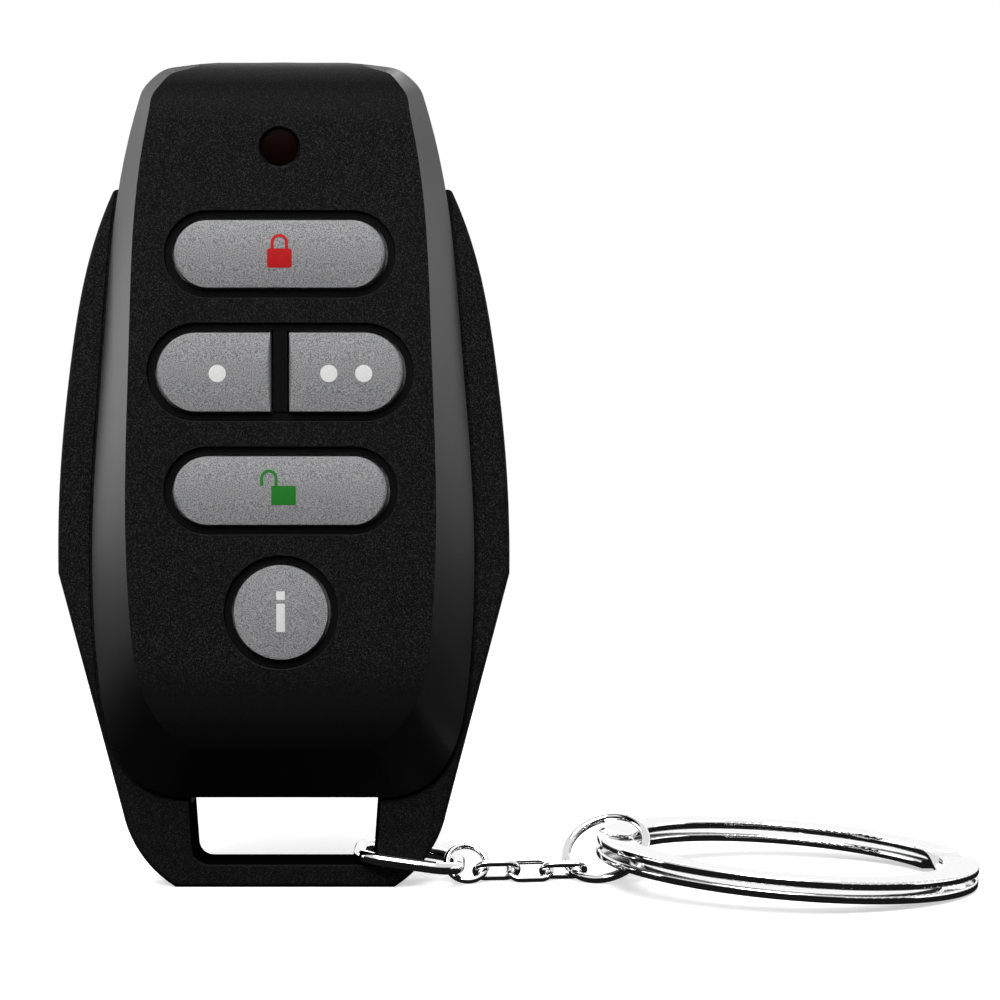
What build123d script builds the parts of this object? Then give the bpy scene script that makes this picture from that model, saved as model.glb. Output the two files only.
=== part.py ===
from build123d import *
import math
import os

# Alarm key fob: a hand-held remote with five keys, a signal lamp, a lanyard slot in its lower
# end, and a chain with a split ring.
# Frame: origin at the centre of the underside of the bar below the slot, +Z up along the case,
# the keys face -Y, +X to the right seen from the keys. Lengths in millimetres.

# Case, as driven from its outside
case_height = 73.4
front_half_width = 16.9
flange_ledge = 3.15
slab_depth = 5.3
front_rise = 4.0
rear_rise = 3.7
panel_setback = 3.3
rim_height = 0.5
brow_reach = 1.5
chin_height = 8.8
shut_gap = 0.1
shell_wall = 1.2
rim_wall = 2.2
groove_width = 0.35
groove_depth = 0.3
slab_front_round = 0.4
slab_rear_round = 0.6
rear_step = 0.3
overrun = 1.0

# Lanyard slot and the bar below it
bar_height = 2.25
slot_height = 5.8
leg_width = 4.73
slot_taper = 0.4
slot_corner = 1.3
slot_web = 1.5

# Half widths and heights along the sides, as shares of the half width and of the case height
front_shoulder_shares = (0.568, 0.9906)
front_side_shares = ((0.737, 0.9568), (0.852, 0.8454), (0.935, 0.6604), (1.0, 0.4287), (0.97, 0.2516))
front_base_share = 0.497
panel_top_share = 0.9816
panel_shoulder_shares = (0.632, 0.9737)
panel_side_shares = ((0.82, 0.9458), (0.915, 0.8454), (0.971, 0.6604), (1.0, 0.4287), (0.971, 0.3193))
panel_base_shares = (0.478, 0.19)
flange_side_shares = ((0.743, 0.8454), (0.843, 0.7728), (0.943, 0.6286), (0.993, 0.4824), (1.0, 0.383))
flange_leg_shares = (0.720, 0.092)
flange_foot_mid_shares = (0.630, 0.0365)
flange_foot_share = 0.487
flange_shoulder_round = 0.5

# How far a shoulder's arc stands out from the line between its ends, as a share of that line
shoulder_bulge_share = 0.114

# How far an inset draws in the ends of the side curves, as shares of the inset
shoulder_draw_share = 0.6
foot_draw_share = 0.3

# Places up the case, as shares of its height
lamp_share = 0.8931
lock_key_share = 0.7668
pair_key_share = 0.6266
unlock_key_share = 0.4854
info_key_share = 0.3398
screw_share = 0.2158
cell_share = 0.461
antenna_base_share = 0.551

# Keys
key_gap = 0.2
key_proud = 0.45
key_crown = 0.25
key_round = 0.45
key_travel = 0.4
key_flange_margin = 0.65
key_flange_thickness = 0.6
key_flange_gap = 0.05
key_stem_radius = 1.1
recess_margin = 0.7
recess_depth = 0.45
recess_slope = 0.1
lock_key_half_length = 9.22
lock_key_half_height = 2.95
pair_key_half_length = 10.78
pair_key_half_height = 3.45
divider_half_width = 0.6
divider_drop = 0.3
unlock_key_half_length = 9.37
unlock_key_half_height = 3.0
info_key_radius = 4.15

# Signal lamp
lens_radius = 1.57
lens_gap = 0.05
lens_led_gap = 0.2
lens_sink = 0.12
lens_dome = 0.2
lens_flange_margin = 0.7
lens_flange_thickness = 0.5
lamp_recess_margin = 0.26
lamp_recess_depth = 0.3

# Tongue of the front shell in the rear shell
tongue_gap = 0.1
tongue_depth = 1.0
tongue_thickness = 0.7

# Circuit board
board_thickness = 1.0
board_gap = 0.25
board_tongue_gap = 0.15
board_post_gap = 0.7
track_thickness = 0.1
track_width = 0.8
track_inset = 1.0

# Switches under the keys
switch_size = 5.2
switch_height = 1.7
switch_corner = 0.4
plunger_radius = 1.3
plunger_gap = 0.06
plunger_margin = 0.12
plunger_seat = 0.85
plunger_bore = 1.35
pair_switch_offset = 5.8

# Parts on the board
chip_size = 4.0
chip_height = 0.9
chip_gap = 0.8
crystal_length = 3.2
crystal_width = 2.5
crystal_height = 0.8
led_length = 1.6
led_width = 0.8
led_height = 0.7
capacitor_length = 1.6
capacitor_width = 0.8
capacitor_height = 0.8
capacitor_pitch = 1.6
capacitor_count = 4

# Coin cell and its contacts
cell_diameter = 20.0
cell_thickness = 3.2
cell_cap_diameter = 17.0
cell_cap_step = 0.4
contact_thickness = 0.2
contact_width = 8.0
clip_width = 4.0
clip_gap = 0.3
clip_foot = 2.0

# Screw and the posts that it joins
screw_radius = 0.9
screw_head_radius = 1.75
screw_head_height = 1.2
screw_head_gap = 0.15
screw_sink = 0.3
screw_bite = 2.6
screw_shaft_gap = 0.15
cross_width = 0.5
cross_span = 2.0
cross_depth = 0.7
post_radius = 2.3
post_gap = 0.2
rib_thickness = 1.0
rib_length = 9.0
rib_spacing = 12.0
rib_gap = 0.1

# Chain and rings: wire sizes and outer sizes
link_wire = 1.1
link_length = 10.0
link_width = 9.2
link_corner = 2.4
jump_wire = 0.6
jump_diameter = 4.2
chain_wire = 0.6
chain_length = 4.4
chain_width = 2.6
end_wire = 0.8
end_diameter = 8.3
joint_slit = 0.08
link_play = 0.7
link_seat_gap = 0.18
link_pitch = 8.2
floor_gap = 0.02

# Split ring
ring_diameter = 34.3
ring_band = 3.2
ring_strip = 0.74
ring_turn_gap = 0.44
ring_edge_round = 0.2
ring_joggle_angle = 14.0
ring_end_gap_angle = 1.5
ring_joggle_bearing = 15.0
joggle_steps = 6
gap_samples = 180

# How each piece lies: its slack on the piece before, as a share of the two wires' mean, then in
# degrees the bearing from that hook to its centre, and its yaw, pitch and roll
chain_lie_shares = {
    "small_jump_ring": (0.15, 29.0, 10.3, -1.6, 51.0),
    "chain_link_a": (0.57, -13.4, 7.0, 0.0, -47.0),
    "chain_link_b": (0.29, 8.6, 8.0, 0.0, 43.4),
    "chain_link_c": (0.27, 1.3, 4.3, 0.0, -39.8),
    "end_jump_ring": (1.27, 23.4, -37.8, 10.0, 38.9),
    "split_ring": (0.12, 0.3, 0.0, 4.2, 0.3),
}

# Planes that follow
flange_y = -slab_depth / 2
slab_back_y = slab_depth / 2
rim_y = flange_y - rim_height
panel_y = flange_y - front_rise
panel_inside_y = panel_y + shell_wall
back_y = slab_back_y + rear_rise
back_inside_y = back_y - shell_wall
board_front_y = flange_y + tongue_depth + board_tongue_gap
board_back_y = board_front_y + board_thickness
switch_front_y = board_front_y - switch_height
plunger_top_y = switch_front_y - key_travel - plunger_margin
cell_front_y = board_back_y + contact_thickness
cell_back_y = cell_front_y + cell_thickness
slot_top = bar_height + slot_height
front_base = slot_top + shut_gap
cavity_base = slot_top + slot_web
panel_half_width = front_half_width - panel_setback
flange_half_width = front_half_width + flange_ledge
slot_half_width_base = flange_foot_mid_shares[0] * flange_half_width - leg_width
slot_half_width_top = slot_half_width_base + slot_taper
chin_top = slot_top + chin_height
lamp_height = lamp_share * case_height
lock_key_height = lock_key_share * case_height
pair_key_height = pair_key_share * case_height
unlock_key_height = unlock_key_share * case_height
info_key_height = info_key_share * case_height
screw_height = screw_share * case_height
cell_height = cell_share * case_height
antenna_base_height = antenna_base_share * case_height
board_base_height = screw_height + post_radius + board_post_gap
chip_place = -(switch_size / 2 + chip_gap + chip_size / 2)
crystal_place = switch_size / 2 + chip_gap + crystal_length / 2
ring_thickness = 2 * ring_strip + ring_turn_gap

# Keys by name: place of the switch below along X, height, half length and half height
key_sizes = {
    "lock": (0, lock_key_height, lock_key_half_length, lock_key_half_height),
    "one_dot": (-pair_switch_offset, pair_key_height, pair_key_half_length, pair_key_half_height),
    "two_dot": (pair_switch_offset, pair_key_height, pair_key_half_length, pair_key_half_height),
    "unlock": (0, unlock_key_height, unlock_key_half_length, unlock_key_half_height),
    "info": (0, info_key_height, info_key_radius, info_key_radius),
}

# Pieces of the chain by name, in the order in which they hook together: length, width and wire
chain_sizes = {
    "oblong_link": (link_length, link_width, link_wire),
    "small_jump_ring": (jump_diameter, jump_diameter, jump_wire),
    "chain_link_a": (chain_length, chain_width, chain_wire),
    "chain_link_b": (chain_length, chain_width, chain_wire),
    "chain_link_c": (chain_length, chain_width, chain_wire),
    "end_jump_ring": (end_diameter, end_diameter, end_wire),
    "split_ring": (ring_diameter, ring_diameter, ring_band),
}


def at_y(face, y):
    """Stand a flat drawing, made with z up the page, in the plane at this y."""
    return Plane.XZ.offset(-y) * face


def prism(face, y_front, y_back):
    """Extrude a flat drawing between two y planes."""
    return extrude(at_y(face, y_back), amount=y_back - y_front)


def scaled(shares, width, height):
    return [(x * width, z * height) for x, z in shares]


def outline(top, shoulder, sides, foot, inset=0.0):
    """Closed case outline: bowed top, round shoulders, curved sides, round hips, flat foot."""
    half = [(x - inset, z) for x, z in sides]
    half[0] = (sides[0][0] - inset, sides[0][1] - shoulder_draw_share * inset)
    half[-1] = (sides[-1][0] - inset, sides[-1][1] + foot_draw_share * inset)
    start = (shoulder[0] - shoulder_draw_share * inset, shoulder[1] - inset)
    end = (foot[0] - foot_draw_share * inset, foot[1] + inset)
    bow = ThreePointArc((-start[0], start[1]), (0, top - inset), start)
    side = Spline(*half)
    chord = Vector(*half[0]) - Vector(*start)
    bulge = Vector(-chord.Y, chord.X) * shoulder_bulge_share
    middle = Vector(*start) + chord / 2 + bulge
    corner = Spline(start, middle, half[0], tangents=(bow % 1, side % 0))
    hip = Spline(half[-1], end, tangents=(side % 1, (-1, 0, 0)))
    right = [corner, side, hip]
    left = [edge.mirror(Plane.YZ) for edge in right]
    base = Line(end, (-end[0], end[1]))
    return make_face([bow, *right, base, *left])


def front_outline(inset=0.0, foot_height=front_base):
    shoulder = scaled([front_shoulder_shares], front_half_width, case_height)[0]
    sides = scaled(front_side_shares, front_half_width, case_height)
    foot = (front_base_share * front_half_width, foot_height)
    return outline(case_height, shoulder, sides, foot, inset)


def panel_outline(inset=0.0):
    shoulder = scaled([panel_shoulder_shares], panel_half_width, case_height)[0]
    sides = scaled(panel_side_shares, panel_half_width, case_height)
    foot = scaled([panel_base_shares], panel_half_width, case_height)[0]
    return outline(panel_top_share * case_height, shoulder, sides, foot, inset)


def whole_face(key, grow=0.0):
    """Outline round a key, grown by a margin: a pill, or a circle where it is as tall as long."""
    _, z, half_length, half_height = key_sizes[key]
    if half_length == half_height:
        return Pos(0, z) * Circle(half_height + grow)
    return Pos(0, z) * SlotOverall(2 * (half_length + grow), 2 * (half_height + grow))


def key_face(key, grow=0.0):
    """A key's own outline. The two keys of the pair each end at the divider between them."""
    x, z, half_length, _ = key_sizes[key]
    whole = whole_face(key, grow)
    if x == 0:
        return whole
    near = divider_half_width + key_gap
    side = math.copysign(1, x)
    window = Pos(side * (near + half_length), z) * Rectangle(2 * half_length, 2 * half_length)
    return whole & window


def side_prism(rim, flat, low, inset=0.0):
    """Bar along X that bounds a bulge as seen from the side: chin, flat face and brow."""
    sign = math.copysign(1, flat)
    top = case_height - inset
    brow = (front_rise if sign < 0 else rear_rise) + brow_reach - inset
    brow_end = flat - sign * brow
    bend = math.sqrt(0.5) * brow
    brow_mid = (brow_end + sign * bend, top - brow + bend)
    foot = Polyline((brow_end, top), (brow_end, low - overrun), (rim, low - overrun), (rim, low))
    chin = TangentArc((flat, chin_top), (rim, low), tangent=(0, -1))
    face_line = Line((flat, chin_top), (flat, top - brow))
    brow_arc = ThreePointArc((flat, top - brow), brow_mid, (brow_end, top))
    face = make_face([*foot.edges(), chin, face_line, brow_arc])
    return extrude(Plane.YZ * face, amount=flange_half_width + overrun, both=True)


def front_body():
    """Outside of the front shell, solid: rim, bevel, brow and chin."""
    rim = prism(front_outline(), rim_y, flange_y - shut_gap)
    bevel = loft([at_y(front_outline(), rim_y), at_y(panel_outline(), panel_y)], ruled=True)
    return (rim + bevel) & side_prism(rim_y, panel_y, slot_top)


def front_cavity():
    low = at_y(front_outline(rim_wall), rim_y)
    high = at_y(panel_outline(shell_wall), panel_inside_y)
    bevel = loft([low, high], ruled=True)
    rim = prism(front_outline(rim_wall), rim_y, flange_y + overrun)
    return (bevel + rim) & side_prism(rim_y + shell_wall, panel_inside_y, cavity_base, shell_wall)


def key_openings():
    """Openings for the keys, each in a flat-bottomed recess. The pair shares one opening."""
    tools = []
    for key in ("lock", "one_dot", "unlock", "info"):
        hole = whole_face(key, key_gap)
        tools.append(prism(hole, panel_y - overrun, panel_inside_y + overrun))
        wide = at_y(whole_face(key, key_gap + recess_margin), panel_y)
        floor = at_y(whole_face(key, key_gap + recess_margin - recess_slope), panel_y + recess_depth)
        tools.append(loft([wide, floor], ruled=True))
    return tools


def divider():
    """Bar between the two keys of the pair. It stands above the floor of their recess."""
    bar = Pos(0, pair_key_height) * Rectangle(2 * divider_half_width, 2 * pair_key_half_height)
    height = 2 * (pair_key_half_height + key_gap + recess_slope)
    root = Pos(0, pair_key_height) * Rectangle(2 * divider_half_width, height)
    raised = prism(bar, panel_y + divider_drop, panel_inside_y)
    return raised + prism(root, panel_y + recess_depth, panel_inside_y)


def screw_post(radius, y_front, y_back):
    return prism(Pos(0, screw_height) * Circle(radius), y_front, y_back)


def front_shell():
    shell = front_body() - front_cavity()
    tongue_outer = cavity_inset() + tongue_gap
    tongue = prism(front_outline(tongue_outer, cavity_foot()), rim_y, flange_y + tongue_depth)
    tongue -= prism(front_outline(tongue_outer + tongue_thickness, cavity_foot()), rim_y - overrun,
                    flange_y + tongue_depth + overrun)
    post = screw_post(post_radius, panel_y + shell_wall / 2, flange_y + tongue_depth)
    shell += tongue + post
    for tool in key_openings():
        shell -= tool
    shell += divider()
    lamp = Pos(0, lamp_height) * Circle(lens_radius + lens_gap)
    shell -= prism(lamp, panel_y - overrun, panel_inside_y + overrun)
    wide = Pos(0, lamp_height) * Circle(lens_radius + lamp_recess_margin)
    shell -= loft([at_y(wide, panel_y), at_y(lamp, panel_y + lamp_recess_depth)], ruled=True)
    pilot_front = flange_y + tongue_depth - screw_bite
    shell -= screw_post(screw_radius, pilot_front, flange_y + tongue_depth + overrun)
    return shell


def cavity_inset():
    return shell_wall + groove_depth


def cavity_foot():
    return cavity_base - cavity_inset()


def slab_face():
    """Flange outline joined to the part that stands behind the top of the front shell."""
    sides = scaled(flange_side_shares, flange_half_width, case_height)
    leg = scaled([flange_leg_shares], flange_half_width, case_height)[0]
    foot_mid = scaled([flange_foot_mid_shares], flange_half_width, case_height)[0]
    foot = (flange_foot_share * flange_half_width, 0)
    side = Spline(*sides)
    hip = Line(sides[-1], leg)
    toe = ThreePointArc(leg, foot_mid, foot)
    right = [side, hip, toe]
    left = [edge.mirror(Plane.YZ) for edge in right]
    top = Line((-sides[0][0], sides[0][1]), sides[0])
    base = Line(foot, (-foot[0], foot[1]))
    flange = make_face([top, *right, base, *left])
    corners = flange.vertices().sort_by(Axis.Y)[-2:]
    flange = fillet(corners, flange_shoulder_round)
    return flange + front_outline(groove_width / 2)


def slot_face():
    points = [
        (-slot_half_width_top, slot_top),
        (slot_half_width_top, slot_top),
        (slot_half_width_base, bar_height),
        (-slot_half_width_base, bar_height),
    ]
    face = make_face(Polyline(*points, close=True))
    return fillet(face.vertices().sort_by(Axis.Y)[:2], slot_corner)


def rear_body():
    slab = prism(slab_face() - slot_face(), flange_y, slab_back_y)
    low = at_y(front_outline(rear_step), slab_back_y)
    high = at_y(panel_outline(), back_y)
    bulge = loft([low, high], ruled=True) & side_prism(slab_back_y, back_y, slot_top)
    root = prism(front_outline(rear_step), 0, slab_back_y)
    return slab, bulge + root


def rear_shell():
    slab, bulge = rear_body()
    front_rim = slab.faces().sort_by(Axis.Y)[0].edges()
    slab = fillet(front_rim, slab_front_round)
    rear_rim = slab.faces().sort_by(Axis.Y)[-1].edges()
    slab = fillet(rear_rim, slab_rear_round)
    shell = slab + bulge
    groove = front_outline(-groove_width) - front_outline(groove_width)
    shell -= prism(groove, flange_y - overrun, flange_y + groove_depth)
    inside = prism(front_outline(cavity_inset(), cavity_foot()), flange_y - overrun, slab_back_y)
    low = at_y(front_outline(cavity_inset() + rear_step, cavity_foot()), slab_back_y)
    high = at_y(panel_outline(shell_wall), back_inside_y)
    hollow = loft([low, high], ruled=True)
    hollow = hollow & side_prism(slab_back_y - shell_wall, back_inside_y, cavity_base, shell_wall)
    shell = shell - inside - hollow
    post_front = flange_y + tongue_depth + post_gap
    shell += screw_post(post_radius, post_front, back_inside_y + shell_wall / 2)
    for side in (-1, 1):
        rib = Pos(side * rib_spacing / 2, cell_height) * Rectangle(rib_thickness, rib_length)
        shell += prism(rib, cell_back_y + contact_thickness + rib_gap, back_inside_y + shell_wall / 2)
    shell -= screw_post(screw_radius + screw_shaft_gap, post_front - overrun, back_y)
    head_seat = back_y - screw_sink - screw_head_height
    shell -= screw_post(screw_head_radius + screw_head_gap, head_seat, back_y + overrun)
    return shell


def key_cap(key):
    """A key: crowned cap, retaining flange behind the panel and stem down to its switch."""
    x, z, half_length, half_height = key_sizes[key]
    top_y = panel_y - key_proud
    collar_front = panel_inside_y + key_flange_gap
    cap = prism(key_face(key), top_y, collar_front)
    cap = fillet(cap.faces().sort_by(Axis.Y)[0].edges(), key_round)
    reach = (half_height**2 + key_crown**2) / (2 * key_crown)
    crown = Sphere(reach)
    if half_length != half_height:
        crown = Rot(0, 90, 0) * Cylinder(reach, 4 * half_length)
    cap = cap & (Pos(0, top_y + reach, z) * crown)
    collar_face = key_face(key, key_gap + key_flange_margin)
    collar = prism(collar_face, collar_front, collar_front + key_flange_thickness)
    stem = prism(Pos(x, z) * Circle(key_stem_radius), collar_front, plunger_top_y)
    return cap + collar + stem


def switch_base(key):
    x, z, _, _ = key_sizes[key]
    square = Pos(x, z) * RectangleRounded(switch_size, switch_size, switch_corner)
    bore = Pos(x, z) * Circle(plunger_radius + plunger_gap)
    body = prism(square, switch_front_y, board_front_y)
    return body - prism(bore, switch_front_y - overrun, switch_front_y + plunger_bore)


def switch_plunger(key):
    x, z, _, _ = key_sizes[key]
    return prism(Pos(x, z) * Circle(plunger_radius), plunger_top_y, switch_front_y + plunger_seat)


def led_lens():
    """Lens in the panel with a flange behind it and a light pipe down to the lamp."""
    front = panel_y + lens_sink
    back = board_front_y - led_height - lens_led_gap
    pipe = prism(Pos(0, lamp_height) * Circle(lens_radius), front, back)
    reach = (lens_radius**2 + lens_dome**2) / (2 * lens_dome)
    pipe = pipe & (Pos(0, front + reach, lamp_height) * Sphere(reach))
    flange_front = panel_inside_y + lens_gap
    flange = Pos(0, lamp_height) * Circle(lens_radius + lens_flange_margin)
    return pipe + prism(flange, flange_front, flange_front + lens_flange_thickness)


def above(height):
    """Window over the whole width of the case, from a height upwards."""
    return Pos(0, height + case_height) * Rectangle(4 * flange_half_width, 2 * case_height)


def board_face(inset=0.0):
    whole = front_outline(cavity_inset() + board_gap + inset)
    return whole & above(board_base_height + inset)


def circuit_board():
    return prism(board_face(), board_front_y, board_back_y)


def loop_antenna():
    """Printed loop along the upper edge of the board's front."""
    band = board_face(track_inset) - board_face(track_inset + track_width)
    return prism(band & above(antenna_base_height), board_front_y - track_thickness, board_front_y)


def on_board(x, z, length, width, height):
    return prism(Pos(x, z) * Rectangle(length, width), board_front_y - height, board_front_y)


def radio_chip():
    return on_board(chip_place, info_key_height, chip_size, chip_size, chip_height)


def crystal():
    size = (crystal_length, crystal_width, crystal_height)
    body = on_board(crystal_place, info_key_height, *size)
    return chamfer(body.faces().sort_by(Axis.Y)[0].edges(), crystal_height / 4)


def status_led():
    return on_board(0, lamp_height, led_length, led_width, led_height)


def chip_capacitors():
    size = (capacitor_width, capacitor_length, capacitor_height)
    row = []
    for index in range(capacitor_count):
        x = (index - (capacitor_count - 1) / 2) * capacitor_pitch
        row.append(on_board(x, (info_key_height + unlock_key_height) / 2, *size))
    return Compound(row)


def coin_cell():
    centre = Pos(0, cell_height)
    can = prism(centre * Circle(cell_diameter / 2), cell_front_y + cell_cap_step, cell_back_y)
    can = fillet(can.faces().sort_by(Axis.Y)[-1].edges(), cell_cap_step)
    cap = prism(centre * Circle(cell_cap_diameter / 2), cell_front_y, cell_front_y + cell_cap_step)
    return can + cap


def battery_contact():
    plate = Pos(0, cell_height) * RectangleRounded(contact_width, contact_width, contact_thickness)
    return prism(plate, board_back_y, cell_front_y)


def battery_clip():
    """Bent strip over the back of the cell, with a leg and a foot on each side."""
    inner = cell_diameter / 2 + clip_gap
    outer = inner + contact_thickness
    top_front = cell_back_y
    top_back = cell_back_y + contact_thickness
    points = [
        (-outer, top_back),
        (outer, top_back),
        (outer, board_back_y + contact_thickness),
        (outer + clip_foot, board_back_y + contact_thickness),
        (outer + clip_foot, board_back_y),
        (inner, board_back_y),
        (inner, top_front),
        (-inner, top_front),
        (-inner, board_back_y),
        (-outer - clip_foot, board_back_y),
        (-outer - clip_foot, board_back_y + contact_thickness),
        (-outer, board_back_y + contact_thickness),
    ]
    strip = make_face(Polyline(*points, close=True))
    return Pos(0, 0, cell_height - clip_width / 2) * extrude(strip, amount=clip_width)


def case_screw():
    head_back = back_y - screw_sink
    head_front = head_back - screw_head_height
    head = screw_post(screw_head_radius, head_front, head_back)
    head = fillet(head.faces().sort_by(Axis.Y)[-1].edges(), screw_head_height / 3)
    tip = flange_y + tongue_depth - screw_bite + screw_radius / 2
    shaft = screw_post(screw_radius, tip, head_front)
    for angle in (0, 90):
        bar = Pos(0, screw_height) * Rot(0, 0, angle) * Rectangle(cross_span, cross_width)
        head -= prism(bar, head_back - cross_depth, head_back + overrun)
    return head + shaft


def lying_height(name, pitch, roll):
    """Height of a piece's centre when its lowest edge just clears the floor."""
    length, width, wire = chain_sizes[name]
    edge, thickness = (0, ring_thickness) if name == "split_ring" else (wire, wire)
    tip = (length - edge) / 2 * math.sin(math.radians(pitch))
    tilt = math.sin(math.radians(roll)) * math.cos(math.radians(pitch))
    return floor_gap + thickness / 2 + math.hypot(tip, (width - edge) / 2 * tilt)


def chain_layout():
    """Centre, yaw, pitch and roll of each piece, from the link on the case's leg outwards."""
    slope = math.radians(link_pitch)
    reach = (link_length - link_wire) / 2
    x = slot_half_width_base - link_play + (reach - link_wire / 2) * math.cos(slope)
    y = 0
    z = bar_height + link_seat_gap + link_wire / 2 - reach * math.sin(slope)
    places = {"oblong_link": (x, y, z, 0, link_pitch, 0)}
    x += reach * math.cos(slope)
    hook_wire = link_wire
    for name, (slack_share, bearing, yaw, pitch, roll) in chain_lie_shares.items():
        length, _, wire = chain_sizes[name]
        reach = (length - wire) / 2
        step = reach - (hook_wire + wire) / 2 * (1 + slack_share)
        x += step * math.cos(math.radians(bearing))
        y += step * math.sin(math.radians(bearing))
        places[name] = (x, y, lying_height(name, pitch, roll), yaw, pitch, roll)
        x += reach * math.cos(math.radians(pitch)) * math.cos(math.radians(yaw))
        y += reach * math.cos(math.radians(pitch)) * math.sin(math.radians(yaw))
        hook_wire = wire
    return places


chain_places = chain_layout()


def placed(name, solid):
    x, y, z, yaw, pitch, roll = chain_places[name]
    return Pos(x, y, z) * Rot(0, 0, yaw) * Rot(0, pitch, 0) * Rot(roll, 0, 0) * solid


def wire_loop(face, wire):
    """Round wire bent along a flat outline and closed."""
    path = face.wire()
    section = Plane(origin=path @ 0, z_dir=path % 0) * Circle(wire / 2)
    return sweep(section, path=path)


def jump_ring(diameter, wire):
    """Round ring of wire with a fine butt joint, which faces away from the pull."""
    radius = (diameter - wire) / 2
    slit = math.degrees(joint_slit / radius)
    section = Pos(radius, 0) * Circle(wire / 2)
    ring = revolve(Plane.XZ * section, Axis.Z, 360 - slit)
    return Rot(0, 0, 90 + slit / 2) * ring


def ring_section(bearing, height):
    """Flat wire section of the split ring at a bearing and height, standing across the turn."""
    radius = (ring_diameter - ring_band) / 2
    strip = Pos(radius, height) * RectangleRounded(ring_band, ring_strip, ring_edge_round)
    return Rot(0, 0, bearing) * (Plane.XZ * strip)


def split_ring():
    """Two flat turns of one strip, joined by a joggle that steps from the lower to the upper."""
    pitch = ring_strip + ring_turn_gap
    low = -pitch / 2
    turn = 360 - ring_joggle_angle - ring_end_gap_angle
    start = ring_joggle_bearing - ring_joggle_angle / 2
    end = ring_joggle_bearing + ring_joggle_angle / 2
    lower = revolve(ring_section(start - turn, low), Axis.Z, turn)
    upper = revolve(ring_section(end, -low), Axis.Z, turn)
    sections = []
    for index in range(joggle_steps + 1):
        share = index / joggle_steps
        rise = (1 - math.cos(math.pi * share)) / 2
        sections.append(ring_section(start + ring_joggle_angle * share, low + pitch * rise))
    joggle = loft(sections)
    return lower + joggle + upper


def ring_self_gap():
    """Least distance between the lower and the upper turn, from points along the strip."""
    pitch = ring_strip + ring_turn_gap
    radius = (ring_diameter - ring_band) / 2
    turn = 360 - ring_joggle_angle - ring_end_gap_angle
    start = ring_joggle_bearing - ring_joggle_angle / 2
    end = ring_joggle_bearing + ring_joggle_angle / 2
    points = range(gap_samples + 1)
    lower = [(start - turn * index / gap_samples, -pitch / 2) for index in points]
    upper = [(end + turn * index / gap_samples, pitch / 2) for index in points]
    least = pitch
    for bearing, height in lower:
        for other, level in upper:
            along = math.radians((bearing - other + 180) % 360 - 180) * radius
            least = min(least, math.hypot(along, level - height))
    return least - ring_strip


def build_parts():
    parts = {
        "front_shell": front_shell(),
        "rear_shell": rear_shell(),
        "led_lens": led_lens(),
        "circuit_board": circuit_board(),
        "loop_antenna": loop_antenna(),
        "radio_chip": radio_chip(),
        "crystal": crystal(),
        "status_led": status_led(),
        "chip_capacitors": chip_capacitors(),
        "coin_cell": coin_cell(),
        "battery_contact": battery_contact(),
        "battery_clip": battery_clip(),
        "case_screw": case_screw(),
    }
    for key in key_sizes:
        parts[f"{key}_button"] = key_cap(key)
        parts[f"{key}_switch_base"] = switch_base(key)
        parts[f"{key}_switch_plunger"] = switch_plunger(key)
    link_path = RectangleRounded(link_length - link_wire, link_width - link_wire, link_corner)
    parts["oblong_link"] = placed("oblong_link", wire_loop(link_path, link_wire))
    parts["small_jump_ring"] = placed("small_jump_ring", jump_ring(jump_diameter, jump_wire))
    chain_path = SlotOverall(chain_length - chain_wire, chain_width - chain_wire)
    for name in ("chain_link_a", "chain_link_b", "chain_link_c"):
        parts[name] = placed(name, wire_loop(chain_path, chain_wire))
    parts["end_jump_ring"] = placed("end_jump_ring", jump_ring(end_diameter, end_wire))
    parts["split_ring"] = placed("split_ring", split_ring())
    return parts


os.makedirs("parts", exist_ok=True)
for node, solid in build_parts().items():
    export_step(solid, f"parts/{node}.step")
print(f"Least gap between the turns of the split ring: {ring_self_gap():.2f} mm")
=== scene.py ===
import math

import bmesh
import bpy
from bpy.props import FloatProperty, FloatVectorProperty, PointerProperty
from mathutils import Matrix, Vector
from mathutils.bvhtree import BVHTree


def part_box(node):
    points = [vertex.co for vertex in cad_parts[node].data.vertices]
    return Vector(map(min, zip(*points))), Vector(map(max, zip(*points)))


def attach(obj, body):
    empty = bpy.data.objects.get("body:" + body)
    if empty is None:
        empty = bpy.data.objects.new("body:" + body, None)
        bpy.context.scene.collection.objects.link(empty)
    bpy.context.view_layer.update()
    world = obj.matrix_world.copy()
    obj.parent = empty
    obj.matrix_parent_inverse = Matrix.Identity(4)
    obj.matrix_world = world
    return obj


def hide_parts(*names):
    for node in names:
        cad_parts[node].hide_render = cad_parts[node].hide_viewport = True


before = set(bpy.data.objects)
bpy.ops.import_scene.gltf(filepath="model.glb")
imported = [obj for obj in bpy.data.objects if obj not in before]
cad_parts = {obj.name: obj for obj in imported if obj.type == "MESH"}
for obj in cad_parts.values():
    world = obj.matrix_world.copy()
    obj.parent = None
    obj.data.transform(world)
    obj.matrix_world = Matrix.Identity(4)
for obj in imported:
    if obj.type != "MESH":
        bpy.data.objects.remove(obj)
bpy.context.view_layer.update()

bl_info = {
    "name": "Alarm key fob",
    "version": (1, 0, 0),
    "blender": (4, 5, 0),
    "location": "3D View > Sidebar > Key fob",
    "description": "Finishes, key marks and studio of an alarm key fob",
    "category": "Object",
}

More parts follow.
